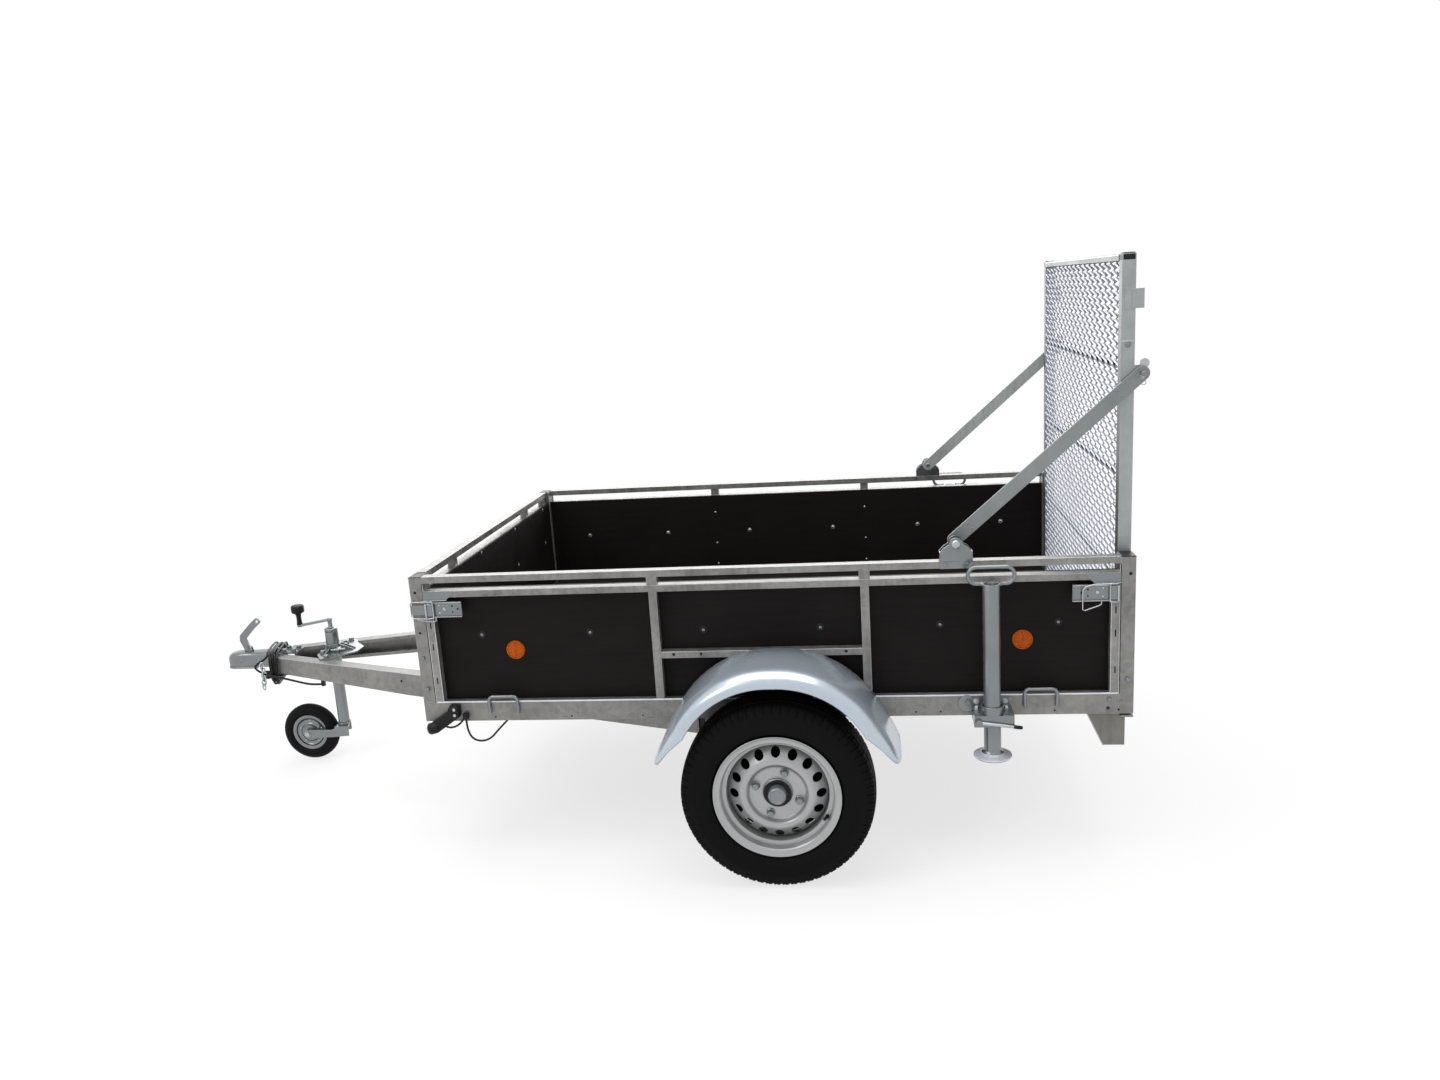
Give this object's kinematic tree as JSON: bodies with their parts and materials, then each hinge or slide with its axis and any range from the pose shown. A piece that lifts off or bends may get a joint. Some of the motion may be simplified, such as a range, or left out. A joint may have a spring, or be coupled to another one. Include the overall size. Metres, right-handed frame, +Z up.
{
  "type": "utility trailer",
  "caption": "Single-axle galvanised utility trailer with plywood sides, a drawbar with ball coupling and jockey wheel, mudguards, and an upright mesh loading ramp.",
  "frame": {"origin": "on the ground under the middle of the overall length, on the trailer's centre plane", "axes": "+X towards the ramp at the rear, -X towards the coupling, +Y to the trailer's right, +Z up"},
  "size_m": [3.23, 1.89, 1.706],
  "materials": {
    "galvanised": "hot-dip galvanised steel, satin grey with a faint spangle",
    "zinc_bright": "electroplated zinc, bright and slightly blue",
    "crank_zinc": "electroplated zinc with a black knob",
    "black_film_ply": "phenolic film faced plywood, very dark brown, satin",
    "floor_ply": "wire-mesh pressed anti-slip plywood, dark brown",
    "tyre_rubber": "moulded rubber, matt",
    "wheel_silver": "silver lacquer, satin",
    "hub_steel": "machined steel with a pressed cap",
    "guard_metal": "pressed galvanised sheet, satin",
    "black_cap": "moulded black plastic",
    "cable_black": "black cable sheath",
    "amber_lens": "amber prismatic lens",
    "red_lens": "red and amber prismatic lens"
  },
  "bodies": {
    "chassis": {"drawbar_left": "galvanised", "drawbar_right": "galvanised", "coupling_head": "zinc_bright", "coupling_handle": "zinc_bright", "jockey_clamp": "zinc_bright", "jockey_outer_tube": "zinc_bright", "jockey_crank": "crank_zinc", "side_rails": "galvanised", "cross_members": "galvanised", "corner_posts": "galvanised", "post_caps": "black_cap", "floor": "floor_ply", "side_panel_left": "black_film_ply", "side_panel_right": "black_film_ply", "side_frame_left": "galvanised", "side_frame_right": "galvanised", "mudguard_left": "guard_metal", "mudguard_right": "guard_metal", "axle_beam": "galvanised", "swing_arms": "galvanised", "corner_latches": "zinc_bright", "tie_loops": "galvanised", "side_reflectors": "amber_lens", "marker_lamps": "black_cap", "lamp_beam": "galvanised", "tail_lamps": "red_lens", "stand_clamps": "zinc_bright", "stay_brackets": "zinc_bright", "cable_hank": "cable_black", "plug": "black_cap", "cable_clip": "black_cap", "cable_lead": "cable_black", "marker_wires": "cable_black"},
    "wheel_left": {"tyre_left": "tyre_rubber", "rim_left": "wheel_silver", "hub_left": "hub_steel"},
    "wheel_right": {"tyre_right": "tyre_rubber", "rim_right": "wheel_silver", "hub_right": "hub_steel"},
    "jockey_leg": {"jockey_leg": "zinc_bright"},
    "jockey_fork": {"jockey_fork": "zinc_bright"},
    "jockey_wheel": {"jockey_tyre": "tyre_rubber", "jockey_rim": "wheel_silver"},
    "stand_left": {"stand_left": "zinc_bright"},
    "stand_right": {"stand_right": "zinc_bright"},
    "stay_left": {"stay_left": "zinc_bright"},
    "stay_right": {"stay_right": "zinc_bright"},
    "ramp": {"ramp_frame": "galvanised", "ramp_mesh": "galvanised", "ramp_caps": "black_cap"},
    "front_wall": {"front_frame": "galvanised", "front_panel": "black_film_ply"}
  },
  "joints": [
    {"name": "wheel_left_spin", "type": "hinge", "parent": "chassis", "child": "wheel_left", "pos_m": [0.571, -0.862, 0.278], "axis": [0, 1, 0], "continuous": true},
    {"name": "wheel_right_spin", "type": "hinge", "parent": "chassis", "child": "wheel_right", "pos_m": [0.571, 0.862, 0.278], "axis": [0, 1, 0], "continuous": true},
    {"name": "jockey_lift", "type": "slide", "parent": "chassis", "child": "jockey_leg", "axis": [0, 0, 1], "range_m": [-0.04, 0.08]},
    {"name": "jockey_swivel", "type": "hinge", "parent": "jockey_leg", "child": "jockey_fork", "pos_m": [-1.184, 0, 0.14], "axis": [0, 0, 1], "continuous": true},
    {"name": "jockey_spin", "type": "hinge", "parent": "jockey_fork", "child": "jockey_wheel", "pos_m": [-1.321, 0, 0.11], "axis": [0, 1, 0], "continuous": true},
    {"name": "stand_left_slide", "type": "slide", "parent": "chassis", "child": "stand_left", "axis": [0, 0, 1], "range_m": [-0.33, 0.03]},
    {"name": "stand_right_slide", "type": "slide", "parent": "chassis", "child": "stand_right", "axis": [0, 0, 1], "range_m": [-0.33, 0.03]},
    {"name": "ramp_hinge", "type": "hinge", "parent": "chassis", "child": "ramp", "pos_m": [1.558, 0, 0.47], "axis": [0, 1, 0], "range_deg": [0, 111]},
    {"name": "stay_left_hinge", "type": "hinge", "parent": "chassis", "child": "stay_left", "pos_m": [1.091, -0.66, 0.943], "axis": [0, -1, 0], "range_deg": [0, 138.8]},
    {"name": "stay_right_hinge", "type": "hinge", "parent": "chassis", "child": "stay_right", "pos_m": [1.091, 0.66, 0.943], "axis": [0, -1, 0], "range_deg": [0, 138.8]},
    {"name": "front_wall_hinge", "type": "hinge", "parent": "chassis", "child": "front_wall", "pos_m": [-0.509, 0, 0.519], "axis": [0, -1, 0], "range_deg": [0, 95]}
  ]
}
